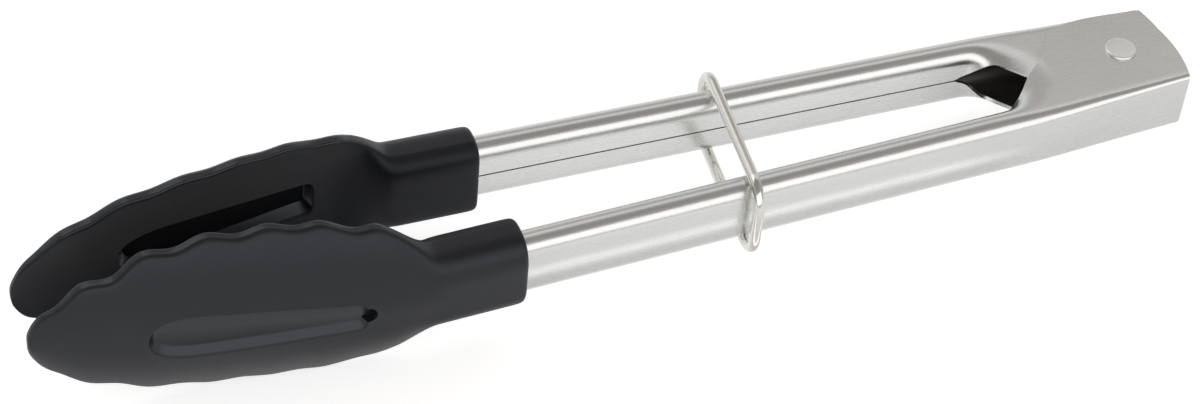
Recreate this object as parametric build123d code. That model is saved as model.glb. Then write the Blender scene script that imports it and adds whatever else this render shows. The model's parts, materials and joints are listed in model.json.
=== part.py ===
from build123d import *
from math import acos, atan2, cos, degrees, hypot, pi, radians, sin
import os

# Spring loaded kitchen tongs: two folded sheet steel arms on one rivet, a torsion spring
# round the rivet, a sliding lock ring, and a moulded nylon jaw on the end of each arm.
#
# Millimetres. Each arm is drawn in the closed frame: the pivot axis is Z, the arms run along
# -X from the pivot, and the tongs are symmetric about y = 0, the plane where the jaws meet.
# "Distance" is measured from the pivot towards the jaws, "out" away from the plane y = 0.
# At the end everything is turned to the resting pose on a table.

# ---- driving sizes -------------------------------------------------------------------------

# arm tube: flat inside, lightly cambered outside, with a butt seam down the flat
sheet = 0.7
tube_height = 13.4
tube_depth = 5.9
tube_corner = 2.94
tube_camber = 0.25
seam_gap = 0.14
inner_flat_out = 6.95
rest_half_angle = 1.39         # degrees each arm stands open at rest

# hinge head: the far arm's channel nests inside the near arm's channel
seam_opens = 32.0              # distance where the seam flares open into the channel
flange_start = 26.9            # distance where the inner corner turns out into the flange
joggle_end = 23.0              # distance by which the nested channel is one sheet lower
near_flange_reach = 9.5        # how far the near arm's flanges reach past y = 0
near_flange_front = 11.3       # distance where their slanted front edge ends
far_flange_reach = 7.0
far_flange_front = 17.0
head_end = 8.8                 # head wall past the pivot
head_end_bulge = 2.1           # extra length of the flanges' rounded ends
head_taper = 1.5               # how far the head wall leans in by its end
nest_gap = 0.06

# pivot rivet, spacer tube and torsion spring
rivet_shank_r = 2.0
rivet_head_r = 3.1
rivet_head_height = 1.25
pivot_clearance = 0.05
rivet_seat_gap = 0.03
spacer_wall = 0.75
spacer_end_gap = 0.04
spring_wire_r = 0.65
spring_turns = 4
spring_pitch = 1.42
spring_bore_gap = 0.2
spring_leg_distance = 21.0
spring_leg_gap = 0.3

# lock ring: a closed loop of wire round both arms, standing a little askew
ring_wire_r = 1.1
ring_distance = 83.5
ring_side_slack = 1.65         # beside each arm at rest, so that the arms can open
ring_height_slack = 0.35
ring_corner = 4.8
ring_turn = 6.0

# nylon jaw: a sleeve over the tube's end, then a scoop with a scalloped rim
bare_arm = 131.0               # distance from the pivot to the sleeve
sleeve_length = 18.0
sleeve_wall = 2.1
sleeve_edge = 1.5
sleeve_end_wall = 2.0
moulding_gap = 0.05
plug_length = 13.0
key_r = 1.9
jaw_wall = 2.8
rim_width = 2.6
neck_length = 12.0
# past the sleeve, rim out from y = 0, drop of the crown below the sleeve, half width
scoop = [
    (-0.6, 9.5, 0.0, 8.9),
    (4.0, 8.7, 0.05, 12.5),
    (9.0, 7.4, 0.35, 15.7),
    (16.0, 6.0, 1.15, 17.9),
    (24.0, 4.5, 2.5, 19.1),
    (33.0, 3.1, 4.0, 19.3),
    (42.0, 2.0, 5.6, 18.5),
    (51.0, 1.4, 7.3, 16.0),
    (59.0, 0.95, 9.0, 12.4),
    (65.0, 0.55, 10.5, 8.8),
    (69.0, 0.3, 11.8, 5.4),
    (71.4, 0.25, 13.0, 2.2),
]
hollow_rear = 3.5
hollow_front = 67.8
scallop_first = 8.5            # rear crest past the sleeve; the last one is at the tip
scallop_count = 6
scallop_depth = 0.8
crest_trim = 0.05

# core-out down the middle of the jaw: a recess outside, a groove inside, a thin web between
slot_rear = 14.4
slot_front = 51.0
slot_rear_half = 2.7
slot_front_half = 4.6
recess_depth = 1.3
web = 0.6
hole_past = 11.9
hole_r = 1.4

# ---- derived sizes -------------------------------------------------------------------------

tube_half = tube_height / 2
outer_out = inner_flat_out + tube_depth
middle_out = inner_flat_out + tube_depth / 2
nested_half = tube_half - sheet - nest_gap
spacer_r = rivet_shank_r + pivot_clearance + spacer_wall
coil_r = spacer_r + spring_bore_gap + spring_wire_r
rivet_bottom = tube_half + rivet_seat_gap + rivet_head_height
sleeve_out = outer_out + sleeve_wall
sleeve_front = bare_arm + sleeve_length
tube_tip = sleeve_front - sleeve_end_wall
key_distance = tube_tip - plug_length / 2
arms_at_ring = outer_out + tube_camber + ring_distance * sin(radians(rest_half_angle))
ring_half_length = arms_at_ring + ring_side_slack + ring_wire_r
ring_half_height = tube_half + ring_height_slack + ring_wire_r
widest_past, _, _, widest_half = max(scoop, key=lambda station: station[3])
# the tongs rest on the lower rivet head and on the widest point of both jaws
rest_tilt = degrees(atan2(widest_half - crest_trim - rivet_bottom, sleeve_front + widest_past))


def across(distance):
    """Section plane at a distance from the pivot: its x is out, its y is up."""
    return Plane.YZ.offset(-distance)


def along(face, distance, length):
    """Prism of a section face that starts at a distance and runs towards the jaws."""
    return extrude(across(distance) * face, -length)


def scoop_at(past):
    """Rim out, crown out and half width of the scoop at a distance past the sleeve."""
    for (p0, *a), (p1, *b) in zip(scoop, scoop[1:]):
        if p0 <= past <= p1:
            share = (past - p0) / (p1 - p0)
            rim, drop, half_width = (m + (n - m) * share for m, n in zip(a, b))
            return rim, sleeve_out - drop, half_width
    raise ValueError("not on the scoop")


# ---- arms ----------------------------------------------------------------------------------

def arm_outline(inset, half=tube_half, out=outer_out, inner=inner_flat_out, open_side=False):
    """Section outline moved in by an inset; an open side is square and not moved in."""
    top = half - inset
    wall = out - inset
    r = tube_corner - inset
    edges = [
        RadiusArc((wall, top - r), (wall - r, top), -r),
        ThreePointArc((wall, r - top), (wall + tube_camber, 0), (wall, top - r)),
        RadiusArc((wall - r, -top), (wall, r - top), -r),
    ]
    if open_side:
        edges.append(Polyline((wall - r, top), (inner, top), (inner, -top), (wall - r, -top)))
    else:
        flat = inner + inset
        edges += [
            Line((wall - r, top), (flat + r, top)),
            RadiusArc((flat + r, top), (flat, top - r), -r),
            Line((flat, top - r), (flat, r - top)),
            RadiusArc((flat, r - top), (flat + r, -top), -r),
            Line((flat + r, -top), (wall - r, -top)),
        ]
    return make_face(edges)


def head_form(inset, half, inner):
    """Channel from the flaring seam to the head's end; its wall leans in by head_taper."""
    stations = [
        (seam_opens, tube_half, outer_out),
        (flange_start, tube_half, outer_out),
        (joggle_end, half, outer_out),
        (-head_end - head_end_bulge, half, outer_out - head_taper),
    ]
    faces = [across(d) * arm_outline(inset, h, w, inner, True) for d, h, w in stations]
    return Part() + [loft(pair, ruled=True) for pair in zip(faces, faces[1:])]


def head_plan(reach, front):
    """Plan of the head: slanted front edges, rounded ends behind the pivot."""
    wall = outer_out + 2
    bulge = ThreePointArc((head_end, -reach), (head_end + head_end_bulge, 2.0), (head_end, wall))
    return make_face([
        Polyline((head_end, wall), (-seam_opens, wall), (-seam_opens, inner_flat_out + tube_corner),
                 (-flange_start, inner_flat_out), (-front, -reach), (head_end, -reach)),
        bulge,
    ])


def arm(half, reach, front):
    """Arm in the closed frame on the +Y side, from its channel's half height and flanges."""
    tall = 3 * tube_height
    tube = along(arm_outline(0) - arm_outline(sheet), flange_start, tube_tip - flange_start)
    # the flat side opens in a V from the seam
    corner_z = tube_half - tube_corner
    flare = Polyline((-seam_opens, 0), (-flange_start, corner_z), (0, corner_z),
                     (0, -corner_z), (-flange_start, -corner_z), (-seam_opens, 0))
    tube -= extrude(Plane.XZ * make_face(flare), -middle_out)
    seam = Box(tube_tip + 1, 2 * sheet + 1, seam_gap, align=(Align.MAX, Align.CENTER, Align.CENTER))
    tube -= Pos(0, inner_flat_out, 0) * seam
    channel = head_form(0, half, -reach - 1) - head_form(sheet, half, -reach - 2)
    channel &= extrude(Plane.XY.offset(-tall) * head_plan(reach, front), 2 * tall)
    body = tube + channel
    body -= Cylinder(rivet_shank_r + pivot_clearance, tall)
    body -= Pos(-key_distance, middle_out, 0) * Cylinder(key_r + moulding_gap, tall)
    return body


# ---- jaws ----------------------------------------------------------------------------------

def bowl_face(past, base, crown, half_width):
    """Half ellipse from a base line out to the crown."""
    bow = EllipticalCenterArc((base, 0), crown - base, half_width, start_angle=-90, arc_size=180)
    return across(sleeve_front + past) * make_face([bow, Line(bow @ 1, bow @ 0)])


def scoop_form():
    """Outside of the scoop, filled."""
    return loft([bowl_face(p, rim, sleeve_out - drop, w) for p, rim, drop, w in scoop])


def scoop_hollow():
    """Hollow side of the scoop, shallow at both ends."""
    sections = []
    steps = 10
    for i in range(steps + 1):
        past = hollow_rear + (hollow_front - hollow_rear) * i / steps
        rim, crown, half_width = scoop_at(past)
        fade = min(1.0, 0.15 + 0.34 * i, 0.15 + 0.42 * (steps - i))
        depth = max((crown - rim - jaw_wall) * fade, 0.3)
        width = (half_width - rim_width) * (0.4 + 0.6 * fade)
        sections.append(bowl_face(past, rim - 0.8, rim + depth, width))
    return loft(sections)


def across_jaw(face):
    """Prism through the jaw from a face drawn past the sleeve and up."""
    return extrude(Plane.XZ * Pos(-sleeve_front, 0) * face, -2 * sleeve_out)


def slot_form():
    """Tapered slot with a round front end."""
    r = slot_front_half
    start = r - slot_front
    return across_jaw(make_face([
        Polyline((start, r), (-slot_rear, slot_rear_half), (-slot_rear, -slot_rear_half), (start, -r)),
        ThreePointArc((start, -r), (-slot_front, 0), (start, r)),
    ]))


def under_crown(depth):
    """Block below a surface that lies a depth under the crown."""
    line = [(-sleeve_front - past, sleeve_out - drop - depth) for past, _, drop, _ in scoop]
    base = Polyline(line[-1], (line[-1][0], -5), (line[0][0], -5), line[0])
    block = make_face([Spline(*line), base])
    return extrude(Plane.XY.offset(-tube_height) * block, 2 * tube_height)


def sleeve_face(grow):
    """Rounded section that stands a wall thickness off the tube."""
    return Pos(middle_out, 0) * RectangleRounded(
        tube_depth + 2 * grow, tube_height + 2 * grow, tube_corner + grow)


def jaw_sleeve():
    """Sleeve round the tube's end, keyed through the tube to the plug inside it."""
    sleeve = along(sleeve_face(sleeve_wall), bare_arm, sleeve_length)
    sleeve = fillet(sleeve.faces().sort_by(Axis.X)[-1].edges(), sleeve_edge)
    sleeve -= along(arm_outline(-moulding_gap), bare_arm - 1, tube_tip + moulding_gap - bare_arm + 1)
    plug = along(arm_outline(sheet + moulding_gap), tube_tip - plug_length, plug_length + 1)
    key = Pos(-key_distance, middle_out, 0) * Cylinder(key_r, tube_height + sleeve_wall)
    return sleeve + plug + key


def neck():
    """Ramp from the sleeve's inner side down into the scoop."""
    rim, crown, _ = scoop_at(neck_length)
    low = rim + 2.2
    high = crown - 0.5
    toe = Pos((low + high) / 2, 0) * RectangleRounded(high - low, tube_height, 2.0)
    start = across(sleeve_front - 0.5) * sleeve_face(sleeve_wall - 0.01)
    return loft([start, across(sleeve_front + neck_length) * toe])


def rim_waste():
    """What the waves of the scalloped rim leave off, above and below."""
    steps = 4 * scallop_count
    edge = []
    for i in range(steps + 1):
        past = scallop_first + (scoop[-1][0] - scallop_first) * i / steps
        wave = crest_trim + scallop_depth * (1 - cos(2 * pi * i / 4)) / 2
        edge.append((-past, scoop_at(past)[2] - wave))
    front, rear = edge[-1], edge[0]
    beyond = 2 * widest_half
    back = Polyline(front, (front[0] - 1, front[1]), (front[0] - 1, beyond), (rear[0], beyond), rear)
    waste = across_jaw(make_face([Spline(*edge), back]))
    return waste + mirror(waste, about=Plane.XY)


def jaw():
    """Jaw in the closed frame on the +Y side."""
    slot = slot_form()
    body = scoop_form() + neck() - scoop_hollow()
    body -= slot & under_crown(recess_depth + web)
    body -= slot - under_crown(recess_depth)
    body -= across_jaw(Pos(-hole_past, 0) * Circle(hole_r))
    body -= rim_waste()
    return body + jaw_sleeve()


# ---- pivot and lock ring -------------------------------------------------------------------

def rivet():
    """Rivet with a low domed head at each end."""
    seat = tube_half + rivet_seat_gap
    head = Cylinder(rivet_head_r, rivet_head_height, align=(Align.CENTER, Align.CENTER, Align.MIN))
    head = Pos(0, 0, seat) * fillet(head.edges().sort_by(Axis.Z)[-1], 0.7 * rivet_head_height)
    return Cylinder(rivet_shank_r, 2 * seat) + head + mirror(head, about=Plane.XY)


def spacer():
    """Tube on the rivet that stops the channels being squeezed together."""
    length = 2 * (nested_half - sheet - spacer_end_gap)
    return Cylinder(spacer_r, length) - Cylinder(rivet_shank_r + pivot_clearance, length)


def rod(start, end):
    """Round spring wire between two points, with round ends."""
    line = Line(start, end)
    straight = sweep(Plane(start, z_dir=line % 0) * Circle(spring_wire_r), path=line)
    ends = [Pos(*(line @ end)) * Sphere(spring_wire_r) for end in (0, 1)]
    return straight + ends


def spring():
    """Torsion spring: a coil round the spacer and one leg beside each arm's wall."""
    leg_out = outer_out - sheet - spring_leg_gap - spring_wire_r
    span = hypot(spring_leg_distance, leg_out)
    # each leg leaves the coil along a tangent; turn_off is where that tangent touches it
    turn_off = degrees(atan2(leg_out, -spring_leg_distance) - acos(coil_r / span))
    turns = spring_turns + 2 * turn_off / 360
    rise = spring_pitch * turns
    coil_path = Pos(0, 0, -rise / 2) * Rot(0, 0, -turn_off) * Helix(spring_pitch, rise, coil_r)
    coil = sweep(Plane(coil_path @ 0, z_dir=coil_path % 0) * Circle(spring_wire_r), path=coil_path)
    near_end = (-spring_leg_distance, -leg_out, -rise / 2)
    far_end = (-spring_leg_distance, leg_out, rise / 2)
    near_leg = rod(coil_path @ 0, near_end)
    far_leg = rod(coil_path @ 1, far_end)
    return coil + near_leg + far_leg


def lock_ring():
    """Closed wire loop, drawn square to the tongs round the centre line."""
    outline = Plane.YZ * RectangleRounded(2 * ring_half_length, 2 * ring_half_height, ring_corner)
    loop = outline.face().outer_wire()
    start = loop @ 0
    return sweep(Plane(start, z_dir=loop % 0) * Circle(ring_wire_r), path=loop)


# ---- resting pose --------------------------------------------------------------------------

far_turn = Rot(0, 0, -rest_half_angle)
near_turn = Rot(0, 0, rest_half_angle)
near_arm = arm(tube_half, near_flange_reach, near_flange_front)
far_arm = arm(nested_half, far_flange_reach, far_flange_front)
nylon_jaw = jaw()

pieces = {
    "near_arm": near_turn * mirror(near_arm, about=Plane.XZ),
    "far_arm": far_turn * far_arm,
    "near_jaw": near_turn * mirror(nylon_jaw, about=Plane.XZ),
    "far_jaw": far_turn * nylon_jaw,
    "lock_ring": Pos(-ring_distance, 0, 0) * Rot(0, 0, -ring_turn) * lock_ring(),
    "pivot_rivet": rivet(),
    "pivot_spacer": spacer(),
    "torsion_spring": spring(),
}

tilt = Rot(0, rest_tilt, 0)
points, _ = Compound([tilt * piece for piece in pieces.values()]).tessellate(0.01)
spread = [point.X for point in points]
set_down = Pos(-(min(spread) + max(spread)) / 2, 0, -min(point.Z for point in points)) * tilt

os.makedirs("parts", exist_ok=True)
for name, piece in pieces.items():
    export_step(set_down * piece, f"parts/{name}.step")
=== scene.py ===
import json
from math import acos, atan2, cos, hypot, pi, radians, sin

import bmesh
import bpy
from mathutils import Matrix, Vector

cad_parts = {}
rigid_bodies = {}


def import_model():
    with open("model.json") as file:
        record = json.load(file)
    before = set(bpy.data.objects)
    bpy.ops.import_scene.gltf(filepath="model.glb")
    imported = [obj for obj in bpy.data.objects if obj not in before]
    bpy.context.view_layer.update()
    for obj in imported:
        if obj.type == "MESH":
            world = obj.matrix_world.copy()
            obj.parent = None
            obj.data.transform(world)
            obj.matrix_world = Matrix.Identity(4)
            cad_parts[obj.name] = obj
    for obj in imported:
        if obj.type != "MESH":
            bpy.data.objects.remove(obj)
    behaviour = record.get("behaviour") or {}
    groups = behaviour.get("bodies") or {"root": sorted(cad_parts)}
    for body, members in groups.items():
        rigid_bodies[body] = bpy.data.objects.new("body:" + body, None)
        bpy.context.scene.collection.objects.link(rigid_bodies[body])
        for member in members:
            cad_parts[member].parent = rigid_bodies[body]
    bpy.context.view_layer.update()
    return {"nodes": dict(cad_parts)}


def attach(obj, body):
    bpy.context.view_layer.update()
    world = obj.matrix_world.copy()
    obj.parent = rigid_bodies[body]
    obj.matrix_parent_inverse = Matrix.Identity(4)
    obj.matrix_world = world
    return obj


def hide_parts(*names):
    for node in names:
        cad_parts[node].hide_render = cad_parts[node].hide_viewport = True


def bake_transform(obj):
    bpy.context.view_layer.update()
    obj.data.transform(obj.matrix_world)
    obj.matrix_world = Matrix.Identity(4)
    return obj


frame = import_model()

MM = 0.001


# ---- finishes ------------------------------------------------------------------------------

EDGE_SMOOTHER = 0.08  # roughness that the nylon loses on its sharpest edges, which are also lightened as a painted highlight


def linear(hex_code):
    """sRGB hex to a linear RGBA colour."""
    channels = [int(hex_code[i:i + 2], 16) / 255 for i in (1, 3, 5)]
    return [c / 12.92 if c <= 0.04045 else ((c + 0.055) / 1.055) ** 2.4 for c in channels] + [1]


def plug(tree, target, **inputs):
    """Sets a node's inputs. A (node, output) pair is linked, and _2 stands for input number 2."""
    for name, value in inputs.items():
        number = name[1:]
        socket = target.inputs[int(number) if number.isdigit() else name.replace("_", " ")]
        if isinstance(value, tuple) and isinstance(value[0], bpy.types.Node):
            tree.links.new(value[0].outputs[value[1]], socket)
        else:
            socket.default_value = value


def node(tree, kind, settings=None, **inputs):
    """Adds a shader node with its settings and inputs."""
    made = tree.nodes.new("ShaderNode" + kind)
    for name, value in (settings or {}).items():
        setattr(made, name, value)
    plug(tree, made, **inputs)
    return made


def reckon(tree, operation, *terms, **settings):
    """Arithmetic on numbers and (node, output) pairs. Gives the answer as such a pair."""
    numbered = {f"_{i}": term for i, term in enumerate(terms)}
    return node(tree, "Math", {"operation": operation, **settings}, **numbered), 0


def two_tone(tree, share, first, second):
    """Colour between two hex colours, by a share from 0 to 1. Gives a (node, output) pair."""
    mixed = node(tree, "Mix", {"data_type": "RGBA"}, _0=share, _6=linear(first), _7=linear(second))
    return mixed, 2


def new_material(name):
    """New material, with its node tree and its shader."""
    made = bpy.data.materials.new(name)
    made.use_nodes = True
    return made, made.node_tree, made.node_tree.nodes["Principled BSDF"]


def satin_stainless(name, sharp, dull, pale, paler):
    """Satin stainless: clear but soft reflections, faint lengthwise grain."""
    made, tree, shader = new_material(name)
    place = (node(tree, "TexCoord"), "Object")
    lengthwise = node(tree, "Mapping", Vector=place, Scale=(6.0, 260.0, 260.0))
    grain = node(tree, "TexNoise", Vector=(lengthwise, "Vector"), Scale=12.0, Detail=3.0, Roughness=0.6)
    blotch = node(tree, "TexNoise", Vector=place, Scale=55.0, Detail=2.0)
    rough = node(tree, "MapRange", Value=(grain, "Fac"), From_Min=0.3, From_Max=0.7,
                 To_Min=sharp, To_Max=dull)
    bump = node(tree, "Bump", Height=(grain, "Fac"), Strength=0.03, Distance=0.00002)
    plug(tree, shader, Base_Color=two_tone(tree, (blotch, "Fac"), pale, paler),
         Roughness=(rough, "Result"), Normal=(bump, "Normal"), Metallic=1.0)
    return made


def mill_finish_and_painted_shade():
    """Inside of the same sheet: rougher, like a side left as it came from the mill, and darker grey as
    painted shade inside the tube.
    """
    made, tree, shader = new_material("inner_sheet_mill_side_with_painted_shade")
    scale = node(tree, "TexNoise", Vector=(node(tree, "TexCoord"), "Object"), Scale=300.0, Detail=4.0)
    rough = node(tree, "MapRange", Value=(scale, "Fac"), To_Min=0.45, To_Max=0.6)
    plug(tree, shader, Base_Color=two_tone(tree, (scale, "Fac"), "#858280", "#979491"),
         Roughness=(rough, "Result"), Metallic=1.0)
    return made


def drawn_wire():
    """Bright drawn stainless wire: smoother than the sheet, with faint marks of the die."""
    made, tree, shader = new_material("bright_drawn_wire")
    marks = node(tree, "TexNoise", Vector=(node(tree, "TexCoord"), "Object"), Scale=900.0, Detail=2.0)
    rough = node(tree, "MapRange", Value=(marks, "Fac"), To_Min=0.10, To_Max=0.2)
    plug(tree, shader, Base_Color=two_tone(tree, (marks, "Fac"), "#e1e0da", "#ecebe5"),
         Roughness=(rough, "Result"), Metallic=1.0)
    return made


def moulded_nylon(name, sharp, dull, sheen):
    """Black nylon with a faint cool sheen; its sharpest edges are smoother, and lighter as a painted
    highlight.
    """
    made, tree, shader = new_material(name)
    skin = node(tree, "TexNoise", Vector=(node(tree, "TexCoord"), "Object"), Scale=3200.0, Detail=3.0)
    shape = node(tree, "NewGeometry")
    # the sharpest edges, found by pointiness, are made smoother and get a painted highlight
    painted_highlight_edges = node(tree, "MapRange", Value=(shape, "Pointiness"), From_Min=0.515, From_Max=0.56)
    skin_roughness = node(tree, "MapRange", Value=(skin, "Fac"), To_Min=sharp, To_Max=dull)
    rough = reckon(tree, "MULTIPLY_ADD", (painted_highlight_edges, "Result"), -EDGE_SMOOTHER, (skin_roughness, "Result"))
    bump = node(tree, "Bump", Height=(skin, "Fac"), Strength=0.12, Distance=0.00003)
    # base colour lighter on the sharpest edges: painted highlight
    plug(tree, shader, Base_Color=two_tone(tree, (painted_highlight_edges, "Result"), "#0c0d10", "#1d1e22"),
         Roughness=rough, Normal=(bump, "Normal"), IOR=1.53,
         Specular_IOR_Level=sheen, Specular_Tint=linear("#f0f5ff"))
    return made


steel = satin_stainless("satin_stainless_sheet", sharp=0.22, dull=0.3, pale="#e1e2e1", paler="#e9eae9")
rivet_steel = satin_stainless("dull_stainless_rivet", sharp=0.3, dull=0.44, pale="#f2f2f0", paler="#fbfbfa")
wire = drawn_wire()
mill_and_painted_shade_steel = mill_finish_and_painted_shade()
nylon = moulded_nylon("moulded_black_nylon", sharp=0.36, dull=0.48, sheen=0.5)
# copy of the nylon with more sheen: painted highlight on the rim and on the walls of the recess and groove
painted_highlight_nylon = moulded_nylon("smooth_black_nylon_in_the_recess_and_on_the_rim",
                             sharp=0.26, dull=0.34, sheen=0.62)
# copy of the nylon with less sheen: painted shade on the inner side of the jaw
painted_shade_bowl_nylon = moulded_nylon("black_nylon_with_painted_shade_in_the_bowl", sharp=0.45, dull=0.55, sheen=0.36)
# copy of the nylon with almost no sheen: painted shade on the groove's floor
painted_shade_groove_nylon = moulded_nylon("black_nylon_with_painted_shade_in_the_groove", sharp=0.6, dull=0.75, sheen=0.08)
for name, finish in {
    "near_arm": steel, "far_arm": steel, "pivot_rivet": rivet_steel, "pivot_spacer": steel,
    "lock_ring": wire, "torsion_spring": wire, "near_jaw": nylon, "far_jaw": nylon,
}.items():
    for slot in frame["nodes"][name].material_slots:
        slot.material = finish


# ---- shared by the pieces ------------------------------------------------------------------
# An arm's own millimetres: the hinge's middle is 0, and the arm runs towards -x, so a distance d
# along it is at x = -d. y is outwards from the middle of the tongs, z is up.

LEAN = radians(3.5434065582)                     # slope of the arms, down towards the head
HALF_REST = radians(1.39)                        # half the angle between the arms at rest
PIVOT = Vector((104.32993659, 0.0, 8.11744277))  # the hinge's middle on the table, in millimetres
TO_TABLE = Matrix.Scale(MM, 4) @ Matrix.Translation(PIVOT) @ Matrix.Rotation(LEAN, 4, "Y")


def seat(side):
    """From an arm's own millimetres to the table, in metres. The near side, -1, is mirrored."""
    spread = Matrix(((cos(HALF_REST), sin(HALF_REST), 0),
                     (-side * sin(HALF_REST), side * cos(HALF_REST), 0),
                     (0, 0, 1)))
    return TO_TABLE @ spread.to_4x4()


def along(table, place, column):
    """Smooth value of a column of a size table at a place between its rows."""
    rows = [(row[0], row[column]) for row in table]
    if place <= rows[0][0]:
        return rows[0][1]
    if place >= rows[-1][0]:
        return rows[-1][1]
    at = max(i for i, row in enumerate(rows[:-1]) if row[0] <= place)
    slopes = [(b[1] - a[1]) / (b[0] - a[0]) for a, b in zip(rows, rows[1:])]

    def tangent(i):
        if i in (0, len(rows) - 1):
            return slopes[min(i, len(slopes) - 1)]
        return (slopes[i - 1] + slopes[i]) / 2

    (start, first), (end, last) = rows[at], rows[at + 1]
    span = end - start
    u = (place - start) / span
    return (first * (2 * u**3 - 3 * u**2 + 1) + last * (3 * u**2 - 2 * u**3)
            + span * (tangent(at) * (u**3 - 2 * u**2 + u) + tangent(at + 1) * (u**3 - u**2)))


def alone(piece):
    """Makes one object the only selected and active one, in object mode."""
    if bpy.context.object and bpy.context.object.mode == "EDIT":
        bpy.ops.object.mode_set(mode="OBJECT")
    bpy.ops.object.select_all(action="DESELECT")
    piece.select_set(True)
    bpy.context.view_layer.objects.active = piece


def open_up(piece):
    """Goes into edit mode on one piece, with all of it selected."""
    alone(piece)
    bpy.ops.object.mode_set(mode="EDIT")
    bpy.ops.mesh.select_all(action="SELECT")


def face_outwards(piece):
    """Turns all faces of a piece the same way, outwards on a closed one."""
    open_up(piece)
    bpy.ops.mesh.normals_make_consistent(inside=False)
    bpy.ops.object.mode_set(mode="OBJECT")


def pick(piece, test):
    """In edit mode, selects the faces whose middle and normal pass the test."""
    mesh = bmesh.from_edit_mesh(piece.data)
    bpy.ops.mesh.select_mode(type="FACE")
    bpy.ops.mesh.select_all(action="DESELECT")
    for face in mesh.faces:
        face.select = test(face.calc_center_median(), face.normal)
    mesh.select_flush_mode()
    bmesh.update_edit_mesh(piece.data)


def pick_again(piece, numbers):
    """In edit mode, selects the faces with the given numbers."""
    pick(piece, lambda middle, normal: False)
    mesh = bmesh.from_edit_mesh(piece.data)
    mesh.faces.ensure_lookup_table()
    for number in numbers:
        mesh.faces[number].select = True


def shell_of(name, rings, tube=True):
    """Skin over rows of points. A tube's rows are closed rings and its ends are capped."""
    count = len(rings[0])
    faces = []
    for r in range(len(rings) - 1):
        for i in range(count if tube else count - 1):
            j = (i + 1) % count
            faces.append((r * count + i, r * count + j, (r + 1) * count + j, (r + 1) * count + i))
    if tube:
        faces.append(tuple(reversed(range(count))))
        faces.append(tuple(range((len(rings) - 1) * count, len(rings) * count)))
    data = bpy.data.meshes.new(name)
    data.from_pydata([point for ring in rings for point in ring], [], faces)
    piece = bpy.data.objects.new(name, data)
    bpy.context.scene.collection.objects.link(piece)
    return piece


def finish_with(piece, kind, **settings):
    """Adds a modifier and applies it."""
    alone(piece)
    modifier = piece.modifiers.new(kind.lower(), kind)
    for name, value in settings.items():
        setattr(modifier, name, value)
    bpy.ops.object.modifier_apply(modifier=modifier.name)


def drill(piece, **size_and_place):
    """Cuts a round hole into a piece with a cylinder of the given size and place."""
    bpy.ops.mesh.primitive_cylinder_add(**size_and_place)
    bit = bpy.context.object
    finish_with(piece, "BOOLEAN", object=bit, operation="DIFFERENCE", solver="EXACT")
    bpy.data.objects.remove(bit)


# ---- jaws ----------------------------------------------------------------------------------

SLEEVE_REAR, SLEEVE_FRONT = 131.0, 147.2
SLEEVE_MIDDLE, SLEEVE_HALF_DEPTH, SLEEVE_HALF_HEIGHT = 9.9, 5.05, 8.8
# upper half of the sleeve's section, from its outer side over the top to its inner side: y, z
SLEEVE_OUTLINE = [
    (14.95, 0), (14.95, 1.9), (15.02, 4.38), (14.32, 6.41), (13.08, 7.82), (11.49, 8.66), (9.3, 8.87),
    (7.64, 8.85), (6.24, 8.27), (5.22, 7.15), (4.77, 5.77), (4.85, 2.4), (4.85, 0)]
# from the bottom of the sleeve's bore out over its rear lip: distance, how far it is drawn in
SLEEVE_MOUTH = [(145, 2.1), (132, 2.1), (131.15, 2.05), (131.0, 1.6), (131.05, 0.55), (131.6, 0.05)]
NECK = 5.0  # length over which the sleeve's section turns into the scoop's

# distance, rim, crown, wall in the middle, half width
SCOOP = [
    (147, 9.3, 14.95, 10.1, 8.8), (148.4, 9.1, 14.95, 9.9, 8.95), (150, 8.8, 14.94, 9.2, 10.3),
    (152, 8.4, 14.92, 7.7, 12.2), (154, 7.8, 14.86, 6.1, 13.9), (156, 7.1, 14.78, 4.9, 15.0),
    (158, 6.5, 14.6, 4.3, 15.6), (161, 5.9, 14.3, 4.1, 16.6), (165, 5.1, 13.8, 4.1, 17.6),
    (173, 3.6, 12.45, 4.1, 18.5), (182, 2.15, 10.95, 4.1, 18.5), (191, 1.05, 9.35, 4.0, 17.85),
    (200, 0.45, 7.65, 3.8, 16.0), (208, 0.2, 5.95, 3.0, 12.5), (214, 0.15, 4.45, 2.4, 9.3),
    (217.5, 0.2, 3.2, 2.1, 6.7), (219.6, 0.3, 2.2, 1.6, 3.6), (220.5, 0.45, 1.9, 1.2, 1.3)]
OUTER_CURVE, BOWL_CURVE = 2.3, 2.2       # powers of the curves across the two faces
ACROSS = (0.33, 0.62, 0.86, 1.0)         # points of a section between the slot and the edge
EDGE_THICKNESS, EDGE_SHARE = 2.45, 0.55  # the edge's thickness, and the most of the depth it takes

CRESTS = [148.0, 157.6, 167.8, 177.2, 188.0, 199.3, 210.4, 220.5]
# distance, height of the scallops before they are scaled
SCALLOP = [
    (150, 0.0), (154, 0.1), (157.6, 0.45), (164, 0.6), (167.8, 0.45), (172.5, 0.34), (177.2, 0.38),
    (182, 0.5), (188, 0.5), (193.6, 0.55), (199.3, 0.65), (204.8, 0.85), (210.4, 0.75),
    (215.2, 0.5), (218, 0.15), (220.5, 0)]
SCALLOP_SCALE = 1.5
RIM_LIFT = 0.5  # how far the rim stands back between crests, as a share of the scallop's dip

SLOT_REAR, SLOT_FRONT, SLOT_REACH = 161.6, 199.3, 4
# distance, half width of the recess, half width of the groove
SLOT = [
    (160, 3.3, 4.0), (161.6, 3.35, 4.05), (180, 4.6, 4.8), (190.8, 5.15, 5.2), (193.6, 5.2, 5.2),
    (196.5, 4.75, 4.7), (199.3, 3.0, 3.0), (202, 2.6, 2.6), (210, 2.2, 2.2), (221, 0.5, 0.5)]
SLOT_SHARE = 0.35        # the most of the half width that the slot takes
NOSE = {0: 1.3, 1: 0.6}  # how far its front end is drawn out, by a point's number from the middle
LIP_STEP = 0.15          # depth of the small steps above and below its wall

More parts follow.
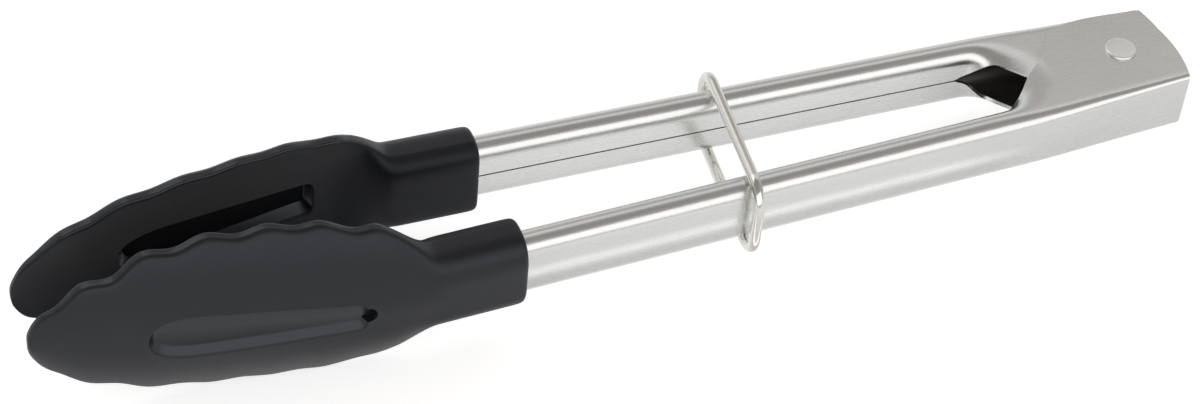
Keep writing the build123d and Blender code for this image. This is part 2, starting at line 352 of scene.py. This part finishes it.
JAW_ROWS = [
    133, 137, 141, 144.5, 147.2, 148.6, 150.2, 152, 153.8, 155.7, 157.6, 159.6, 161.6, 164.4, 167.8,
    170.1, 172.5, 174.8, 177.2, 179.8, 182.5, 185.2, 188, 190.8, 193.6, 196.5, 199.3, 202, 204.8,
    207.6, 210.4, 212.9, 215.2, 217.2, 218.7, 219.8, 220.4]
# the rim's finish, a painted highlight, begins at a distance, and it and the inner side's painted shade go
# by how far a face is turned
RIM_REAR, RIM_FACING, INNER_FACING = 150, 0.84, 0.35
PAINTED_SHADE, SMOOTH, BOWL = 1, 2, 3  # slots of the jaw's finishes after the plain nylon, which is 0: painted shade in the groove, painted highlight, painted shade in the bowl


def scallop(d):
    """How far a scallop stands out or in at a distance, and how far out it is at its crest."""
    for a, b in zip(CRESTS, CRESTS[1:]):
        if a <= d < b:
            crest = SCALLOP_SCALE * along(SCALLOP, d, 1)
            return crest * cos(2 * pi * (d - a) / (b - a)), crest
    return 0.0, 0.0


def jaw_ring(d):
    """Section of the jaw: crown, outer face, edge, bowl and back."""
    rim, crown, wall, wide = (along(SCOOP, d, column) for column in (1, 2, 3, 4))
    wave, crest = scallop(d)
    wide += wave
    rim += RIM_LIFT * (crest - wave)
    edge = rim + min(EDGE_THICKNESS, EDGE_SHARE * (crown - rim))
    sides = []
    for column, start, top, curve in ((1, edge, crown, OUTER_CURVE), (2, rim, crown - wall, BOWL_CURVE)):
        slot = min(along(SLOT, d, column), SLOT_SHARE * wide)
        across = [0.0, slot] + [slot + (wide - slot) * part for part in ACROSS]
        sides.append([(start + (top - start) * (1 - (z / wide) ** curve), z) for z in across])
    outer, bowl = sides
    half = outer + [((edge + rim) / 2, wide)] + bowl[::-1]
    part = min(max((d - SLEEVE_FRONT) / NECK, 0.0), 1.0)
    part = part * part * (3 - 2 * part)
    swell = max(1.0, wide / SLEEVE_HALF_HEIGHT)
    half = [(s[0] + (h[0] - s[0]) * part, s[1] * (1 - part) * swell + h[1] * part)
            for s, h in zip(SLEEVE_OUTLINE, half)]
    nose = NOSE if abs(d - SLOT_FRONT) < 0.1 else {}
    back = len(half) - 1
    ring = [(-d - nose.get(min(i, back - i), 0), y, z) for i, (y, z) in enumerate(half)]
    return ring + [(x, y, -z) for x, y, z in reversed(ring[1:-1])]


def sleeve_ring(d, pull):
    """The sleeve's section at a distance, drawn in all round by the pull."""
    return [(-d, SLEEVE_MIDDLE + (y - SLEEVE_MIDDLE) * (1 - pull / SLEEVE_HALF_DEPTH),
             z * (1 - pull / SLEEVE_HALF_HEIGHT)) for x, y, z in jaw_ring(SLEEVE_REAR)]


def over_slot(way):
    """Test for the faces over the slot, on the outer face (1) or in the bowl (-1)."""
    return lambda c, n: SLOT_REAR < -c.x < SLOT_FRONT and abs(c.z) < SLOT_REACH and n.y * way > 0.5


def sink(lip, slope, depth, rise):
    """Sinks the selected faces to a floor. The floor is moved up by the rise, so its lower wall is wider."""
    bpy.ops.mesh.inset(thickness=lip, depth=0.0)
    bpy.ops.mesh.inset(thickness=0.08, depth=-LIP_STEP)
    bpy.ops.mesh.inset(thickness=slope, depth=-(depth - 2 * LIP_STEP))
    bpy.ops.transform.translate(value=(0, 0, rise))
    bpy.ops.mesh.inset(thickness=0.12, depth=-LIP_STEP)
    bpy.ops.mesh.inset(thickness=0.3, depth=0.0)


def paint(piece, slot, grow=0):
    """Gives the selected faces, grown by some rows, the finish of a slot."""
    for row in range(grow):
        bpy.ops.mesh.select_more()
    piece.active_material_index = slot
    bpy.ops.object.material_slot_assign()


def jaw(name, side):
    """Spoon shaped jaw with a scalloped edge, a slot and the sleeve that holds the arm."""
    rings = [sleeve_ring(d, pull) for d, pull in SLEEVE_MOUTH] + [jaw_ring(d) for d in JAW_ROWS]
    piece = shell_of(name, rings)
    for finish in (nylon, painted_shade_groove_nylon, painted_highlight_nylon, painted_shade_bowl_nylon):
        piece.data.materials.append(finish)
    face_outwards(piece)
    bpy.ops.object.mode_set(mode="EDIT")
    # painted shade on the inner side, a copy of the nylon with less sheen, and a painted highlight on the
    # rim, a smoother copy with more sheen
    pick(piece, lambda c, n: n.y < -INNER_FACING)
    paint(piece, BOWL)
    pick(piece, lambda c, n: -c.x > RIM_REAR and abs(n.z) > RIM_FACING)
    paint(piece, SMOOTH)
    # recess in the outer face; its walls and floor get the smoother nylon with more sheen, a painted
    # highlight
    pick(piece, over_slot(1))
    sink(lip=0.05, slope=0.8, depth=1.5, rise=0.6)
    paint(piece, SMOOTH, grow=3)
    # groove in the bowl: its walls get the nylon with more sheen, a painted highlight, and its floor the
    # nylon with almost no sheen, painted shade
    pick(piece, over_slot(-1))
    sink(lip=0.1, slope=1.2, depth=1.9, rise=0.9)
    groove_floor = [f.index for f in bmesh.from_edit_mesh(piece.data).faces if f.select]
    paint(piece, SMOOTH, grow=3)
    pick_again(piece, groove_floor)
    paint(piece, PAINTED_SHADE, grow=1)
    bpy.ops.object.mode_set(mode="OBJECT")
    finish_with(piece, "SUBSURF", levels=2, render_levels=2)
    # hole at the rear end of the recess, into the end of the groove
    drill(piece, vertices=32, radius=1.7, depth=3.4, location=(-161.7, 14.3, 0.5), rotation=(pi / 2, 0, 0))
    alone(piece)
    bpy.ops.object.shade_smooth_by_angle(angle=radians(38))
    piece.data.transform(seat(side))
    if side < 0:
        piece.data.flip_normals()
    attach(piece, "near_side" if side < 0 else "far_side")
    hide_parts(name.replace("_moulding", ""))


jaw("near_jaw_moulding", -1)
jaw("far_jaw_moulding", 1)


# ---- arms ----------------------------------------------------------------------------------

SHEET, TUBE_HALF = 0.7, 6.7
# distance, upper corner radius, lower corner radius, wall out, camber
WALL = [
    (-10.9, 1.25, 2.2, 11.35, 0.05), (0, 1.6, 2.5, 11.83, 0.05), (10, 2.0, 2.7, 12.28, 0.08),
    (22, 2.45, 2.94, 12.8, 0.15), (33, 2.94, 2.94, 12.85, 0.25), (34, 2.94, 2.94, 12.85, 0.25),
    (36, 2.94, 2.94, 12.85, 0.25), (150, 2.94, 2.94, 12.85, 0.25)]
WALL_POINTS = (0.0, 0.3, 0.6, 0.85)  # points of the flat wall, as shares of its half height
# distance, where the inner bend begins, its angle: 90 is the closed tube, 0 the flat plate
OPENING = [
    (16.5, 6, 0), (18, 6.4, 3.5), (20, 7.4, 8.5), (21, 8.3, 9.5), (22, 8.9, 12), (23, 9.3, 15.5),
    (24, 9.5, 20.5), (25, 9.6, 30.5), (26, 9.7, 44), (27, 9.78, 60), (28, 9.84, 75), (29, 9.88, 85),
    (30, 9.89, 89), (31.8, 9.89, 90), (32.5, 9.89, 90), (34, 9.89, 90), (150, 9.89, 90)]
BEND_RADIUS = 2.94
# distance, how far the sheet runs on from the outer corner to its free edge
LIP = [
    (21, 10.0), (22, 8.92), (23, 7.88), (24, 6.9), (25, 6.1), (26, 5.8), (27, 5.92), (28, 6.32),
    (29, 6.97), (30, 7.46), (31, 7.82), (31.8, 8.24), (32.5, 8.25), (34, 8.25), (150, 8.25)]
LIP_REAR = 21   # from here towards the jaws the lip's table holds, before it the plates' tables
RUN_STEPS = 22  # steps of a row from the corner to the free edge
# distance, free edge of the head's plates
NEAR_PLATE = [
    (-11, -9.5), (10.9, -9.5), (11.2, -9.3), (13, -7.1), (15, -4.7), (16.8, -2.6), (18.5, -1.5),
    (20.4, -0.15), (21, 0.35)]
FAR_PLATE = [(-11, -7), (13, -7), (14, -6.8), (15, -6), (17, -4), (19, -1.6), (21, 0.35)]

# the step in the far head: it begins at one distance all across, and it is complete along a bent
# line, whose bend is at STEP_BEND (distance, y) and which slopes differently on its two sides
STEP_BEGIN, STEP_BEND, STEP_WIDEST = 34, (17.2, 1.67), 10
STEP_SLOPE_OUT, STEP_SLOPE_IN = 0.845, 1.32
STEP_FADE = 1.25  # up the wall the step is full from 1 / 1.25 of its half height
NEST_GAP = 0.06

# the head's rear end is curved: how far it bulges, at what length of head, about what y, how wide
END_BULGE, END_LENGTH, END_MIDDLE, END_HALF = 2.1, 8.8, 2.0, 11.0

ARM_ROWS = ([-8.8, -8, -6, -4, -2, 0, 2, 4, 6, 8, 9, 10, 10.8, 11.2] + [12 + 0.5 * i for i in range(41)]
            + [33, 34, 36, 50, 70, 90, 110, 130, 144])


def nested_drop(d, y):
    """How far the far arm's head is pressed in so that it nests inside the near arm's."""
    bend_d, bend_y = STEP_BEND
    slope = STEP_SLOPE_OUT if y > bend_y else STEP_SLOPE_IN
    full = bend_d - (min(y, STEP_WIDEST) - bend_y) * slope
    u = min(max((STEP_BEGIN - d) / (STEP_BEGIN - full), 0.0), 1.0)
    return (SHEET + NEST_GAP) * u * u * (3 - 2 * u)


def half_row(d, near, radius, start):
    """Upper half of a row of the sheet, from the middle of the outer wall to the free edge."""
    wall, camber = along(WALL, d, 3), along(WALL, d, 4)
    bend_at, bend = along(OPENING, d, 1), radians(along(OPENING, d, 2))
    corner = TUBE_HALF - radius
    half = [(wall + camber * (1 - part * part), corner * part) for part in WALL_POINTS]
    half += [(wall - radius + radius * cos(radians(a)), corner + radius * sin(radians(a)))
             for a in range(0, 91, 10)]
    run = along(LIP, d, 1) if d >= LIP_REAR else start - along(NEAR_PLATE if near else FAR_PLATE, d, 1)
    run -= start - (wall - radius)
    flat = max(0.0, wall - radius - bend_at)
    turn = BEND_RADIUS * pi / 2
    for step in range(1, RUN_STEPS + 1):
        s = run * step / RUN_STEPS
        y, z = wall - radius - min(s, flat), TUBE_HALF
        arc = min(max(s - flat, 0.0), turn)
        rest = max(s - flat - turn, 0.0)
        angle = bend * arc / turn
        if bend > 0.001:
            y, z = y - turn / bend * sin(angle), z - turn / bend * (1 - cos(angle))
        else:
            y -= arc
        half.append((y - rest * cos(angle), z - rest * sin(angle)))
    if not near:
        half = [(y, z - nested_drop(d, y) * min(1.0, z / TUBE_HALF * STEP_FADE)) for y, z in half]
    return half


def sheet_row(d, near):
    """One row of the arm's sheet, from the lower free edge round the outer wall to the upper one."""
    upper, lower, wall = (along(WALL, d, column) for column in (1, 2, 3))
    below, above = (half_row(d, near, radius, wall - upper) for radius in (lower, upper))
    placed = []
    for y, z in [(y, -z) for y, z in reversed(below[1:])] + above:
        bulge = 1 + END_BULGE / END_LENGTH * max(0.0, 1 - ((y - END_MIDDLE) / END_HALF) ** 2)
        placed.append((-d if d > 0 else -d * bulge, y, z))
    return placed


def arm(name, side):
    """Arm: a strip of sheet rolled into a flat-sided tube, whose seam opens into the head's channel."""
    near = side < 0
    piece = shell_of(name, [sheet_row(d, near) for d in ARM_ROWS], tube=False)
    face_outwards(piece)
    outermost = max(piece.data.polygons, key=lambda f: f.center.y)
    if outermost.normal.y < 0:
        piece.data.flip_normals()
    piece.data.materials.append(steel)
    piece.data.materials.append(mill_and_painted_shade_steel)
    # the sheet's inner faces get the darker, rougher steel: painted shade inside the tube
    finish_with(piece, "SOLIDIFY", thickness=SHEET, offset=-1.0, use_even_offset=True, material_offset=1)
    drill(piece, vertices=48, radius=2.05, depth=30, location=(0, 0, 0))
    finish_with(piece, "BEVEL", width=0.1, segments=2, limit_method="ANGLE", angle_limit=radians(55),
                material=0)
    # faces too small to see are dissolved, because a mesh made from this one would open at them
    open_up(piece)
    bpy.ops.mesh.dissolve_degenerate(threshold=0.002)
    bpy.ops.object.mode_set(mode="OBJECT")
    bpy.ops.object.shade_smooth_by_angle(angle=radians(32))
    piece.data.transform(seat(side))
    if side < 0:
        piece.data.flip_normals()
    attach(piece, "near_side" if near else "far_side")
    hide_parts("near_arm" if near else "far_arm")


arm("near_arm_sheet", -1)
arm("far_arm_sheet", 1)


# ---- pivot ---------------------------------------------------------------------------------

SHANK_RADIUS, SHANK_LENGTH = 2.0, 13.46
# a head's radius in shank radii, then the inset and the height of its slight crown
HEAD_SPREAD, HEAD_CROWN_INSET, HEAD_CROWN = 1.55, 1.1, 0.03
# which way each head faces, its height, the rounding of its edge
RIVET_HEADS = [(1, 0.5, 0.36), (-1, 1.25, 0.8)]

COIL_RADIUS, WIRE_RADIUS, PITCH = 3.65, 0.65, 1.42
LEG_X, LEG_Y = -21.0, 11.2  # where a leg ends, beside the arm's wall
COIL_STEPS, LEG_STEPS, WIRE_SIDES = 96, 8, 20


def rivet():
    """Solid rivet: a low flat head above, a thicker closed head below that the tongs stand on."""
    bpy.ops.mesh.primitive_cylinder_add(vertices=72, radius=SHANK_RADIUS, depth=SHANK_LENGTH,
                                        location=(0, 0, 0))
    piece = bpy.context.object
    piece.name = "rivet"
    bpy.ops.object.mode_set(mode="EDIT")
    for way, height, edge in RIVET_HEADS:
        pick(piece, lambda c, n: n.z * way > 0.9 and c.z * way > TUBE_HALF)
        bpy.ops.mesh.inset(thickness=0.001)
        bpy.ops.transform.resize(value=(HEAD_SPREAD, HEAD_SPREAD, 1.0))
        bpy.ops.mesh.extrude_region_move(TRANSFORM_OT_translate={"value": (0, 0, way * height)})
        bpy.ops.mesh.bevel(offset=edge, segments=5, affect="EDGES")
        pick(piece, lambda c, n: n.z * way > 0.99 and abs(c.z) > SHANK_LENGTH / 2 + height - 0.01)
        bpy.ops.mesh.inset(thickness=HEAD_CROWN_INSET)
        bpy.ops.transform.translate(value=(0, 0, way * HEAD_CROWN))
    bpy.ops.object.mode_set(mode="OBJECT")
    bpy.ops.object.shade_smooth_by_angle(angle=radians(30))
    piece.data.transform(seat(1))
    piece.data.materials.append(rivet_steel)
    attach(piece, "pivot")
    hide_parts("pivot_rivet")


def spring_path():
    """Middle line of half the spring: about two turns round the spacer, then a straight leg."""
    off = atan2(LEG_Y, LEG_X) - acos(COIL_RADIUS / hypot(LEG_X, LEG_Y))
    turns = 2 + off / (2 * pi)
    path = []
    for step in range(COIL_STEPS + 1):
        part = turns * step / COIL_STEPS
        angle = 2 * pi * part
        path.append(Vector((COIL_RADIUS * cos(angle), COIL_RADIUS * sin(angle), PITCH * part)))
    leg = Vector((LEG_X, LEG_Y, path[-1].z))
    return path + [path[-1].lerp(leg, step / LEG_STEPS) for step in range(1, LEG_STEPS + 1)]


def spring_half(name, side):
    """Half of the torsion spring, with the leg beside one arm's wall."""
    path = spring_path()
    rings = []
    for i, point in enumerate(path):
        ahead = (path[min(i + 1, len(path) - 1)] - path[max(i - 1, 0)]).normalized()
        sideways = ahead.cross(Vector((0, 0, 1))).normalized()
        up = sideways.cross(ahead)
        rings.append([point + WIRE_RADIUS * (cos(a) * sideways + sin(a) * up)
                      for a in (2 * pi * k / WIRE_SIDES for k in range(WIRE_SIDES))])
    piece = shell_of(name, rings)
    face_outwards(piece)
    bpy.ops.object.shade_smooth_by_angle(angle=radians(40))
    if side < 0:
        piece.data.transform(Matrix.Rotation(pi, 4, "X"))
    piece.data.transform(TO_TABLE)
    piece.data.materials.append(wire)
    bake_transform(piece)
    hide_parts("torsion_spring")


rivet()
spring_half("spring_near_half", -1)
spring_half("spring_far_half", 1)


# ---- studio --------------------------------------------------------------------------------

VIEW_GLOW, HEAD_GLOW = 0.62, 0.24     # glow of the floor in view, and in reflections under the head
HEAD_BEGIN, HEAD_FULL = 0.068, 0.088  # x over which the bands give way to that, in metres
# the near arm's foot, and how far the bands reach out from it: slope along x, metres at x = 0
FOOT_LINE, REACH_LINE = (0.0243, -0.01539), (-0.0552, 0.01298)
# gap from the foot as a share of the reach, glow in reflections
BANDS = [
    (-0.9, 0.38), (-0.1, 0.38), (0.3, 0.2), (0.72, 0.1), (0.94, 0.95), (1.06, 0.92), (1.24, 0.04),
    (1.5, 0.25), (2.9, 0.3)]
RAMP_SCALE = 0.25  # the colour ramp runs from a share of -1 to one of 3


def camera():
    """Long lens, looking down on the tongs from the near side and a little from the jaws' end."""
    turn, rise, roll = radians(-21.848), radians(46.128), radians(-0.976)
    target = Vector((-5.26, 0.0, 11.57)) * MM
    distance = 0.56547
    back = Vector((sin(turn) * cos(rise), -cos(turn) * cos(rise), sin(rise)))
    lens = bpy.data.cameras.new("studio_camera")
    lens.lens = 90.0
    lens.sensor_width = 36.0
    holder = bpy.data.objects.new("studio_camera", lens)
    bpy.context.scene.collection.objects.link(holder)
    aim = back.to_track_quat("Z", "Y").to_matrix().to_4x4()
    holder.matrix_world = Matrix.Translation(target + back * distance) @ aim @ Matrix.Rotation(-roll, 4, "Z")
    bpy.context.scene.camera = holder


def softbox(name, place, size, radiance):
    """Rectangular lamp that points at the middle of the table; its face has the given radiance."""
    lamp = bpy.data.lights.new(name, "AREA")
    lamp.shape = "RECTANGLE"
    lamp.size, lamp.size_y = size
    lamp.energy = radiance * pi * size[0] * size[1]
    holder = bpy.data.objects.new(name, lamp)
    bpy.context.scene.collection.objects.link(holder)
    aim = Vector(place).to_track_quat("Z", "Y").to_matrix().to_4x4()
    holder.matrix_world = Matrix.Translation(place) @ aim


def banded_glow(tree):
    """Glow of the floor in reflections only, which is not that of a plain white board.

    Its bands beside the near arm draw the light and dark bands on that arm's wall. They are set
    for the tongs at rest, seen by the main camera, and stay put when the tongs move.
    """
    spot = node(tree, "SeparateXYZ", Vector=(node(tree, "TexCoord"), "Object"))
    foot = reckon(tree, "MULTIPLY_ADD", (spot, "X"), *FOOT_LINE)
    gap = reckon(tree, "SUBTRACT", foot, (spot, "Y"))
    reach = reckon(tree, "MULTIPLY_ADD", (spot, "X"), *REACH_LINE)
    share = reckon(tree, "DIVIDE", gap, reach)
    at_ramp = reckon(tree, "MULTIPLY_ADD", share, RAMP_SCALE, RAMP_SCALE, use_clamp=True)
    bands = node(tree, "ValToRGB", Fac=at_ramp)
    stops = bands.color_ramp.elements
    for place, level in BANDS:
        stops.new(RAMP_SCALE + RAMP_SCALE * place).color = (level, level, level, 1)
    stops.remove(stops[0])
    stops.remove(stops[-1])
    head = node(tree, "MapRange", {"interpolation_type": "SMOOTHSTEP"}, Value=(spot, "X"),
                From_Min=HEAD_BEGIN, From_Max=HEAD_FULL)
    return node(tree, "Mix", _0=(head, "Result"), _2=(bands, "Color"), _3=HEAD_GLOW), 0


def floor():
    """Pale matt board that takes the shadow. It reads white in view and is clear from below."""
    bpy.ops.mesh.primitive_plane_add(size=6.0, location=(0, 0, -0.0002))
    top = bpy.context.object
    top.name = "floor"
    made, tree, shader = new_material("pale_matt_board")
    tree.nodes.remove(shader)
    ray = node(tree, "LightPath")
    in_view = reckon(tree, "MULTIPLY", (ray, "Is Camera Ray"), VIEW_GLOW)
    mirrored = reckon(tree, "ADD", (ray, "Is Glossy Ray"), (ray, "Is Transmission Ray"))
    lift = reckon(tree, "MULTIPLY_ADD", mirrored, banded_glow(tree), in_view)
    board = node(tree, "AddShader", _0=(node(tree, "BsdfDiffuse", Color=linear("#f4f4f4")), 0),
                 _1=(node(tree, "Emission", Strength=lift), 0))
    shown = node(tree, "MixShader", _0=(node(tree, "NewGeometry"), "Backfacing"), _1=(board, 0),
                 _2=(node(tree, "BsdfTransparent"), 0))
    plug(tree, tree.nodes["Material Output"], Surface=(shown, 0))
    top.data.materials.append(made)


def world():
    """Studio room: bright low behind the tongs, mid grey walls, darker and warmer towards the ceiling."""
    room = bpy.data.worlds.new("studio_room")
    bpy.context.scene.world = room
    room.use_nodes = True
    tree = room.node_tree
    smooth = {"interpolation_type": "SMOOTHSTEP"}
    split = node(tree, "SeparateXYZ", Vector=(node(tree, "TexCoord"), "Generated"))
    walls = node(tree, "MapRange", smooth, Value=(split, "Z"), From_Min=0.62, From_Max=0.95,
                 To_Min=0.405, To_Max=0.29)
    low = node(tree, "MapRange", smooth, Value=(split, "Z"), From_Min=0.25, From_Max=0.5,
               To_Min=1.0, To_Max=0.0)
    behind = node(tree, "MapRange", smooth, Value=(split, "Y"), From_Min=0.1, From_Max=0.5)
    low_behind = reckon(tree, "MULTIPLY", (low, "Result"), (behind, "Result"))
    extra = 0.36  # how much brighter the room is there
    plug(tree, tree.nodes["Background"], Color=two_tone(tree, (low, "Result"), "#fff8f4", "#fbffff"),
         Strength=reckon(tree, "MULTIPLY_ADD", low_behind, extra, (walls, "Result")))


camera()
floor()
world()
softbox("front_softbox", place=(0.0, -1.1, 0.64), size=(3.4, 1.0), radiance=0.93)
softbox("rear_softbox", place=(0.0, 0.62, 1.1), size=(3.0, 0.5), radiance=0.42)
softbox("left_softbox", place=(-0.38, 0.75, 0.93), size=(0.8, 1.0), radiance=0.5)
bpy.context.scene.view_settings.view_transform = "Standard"
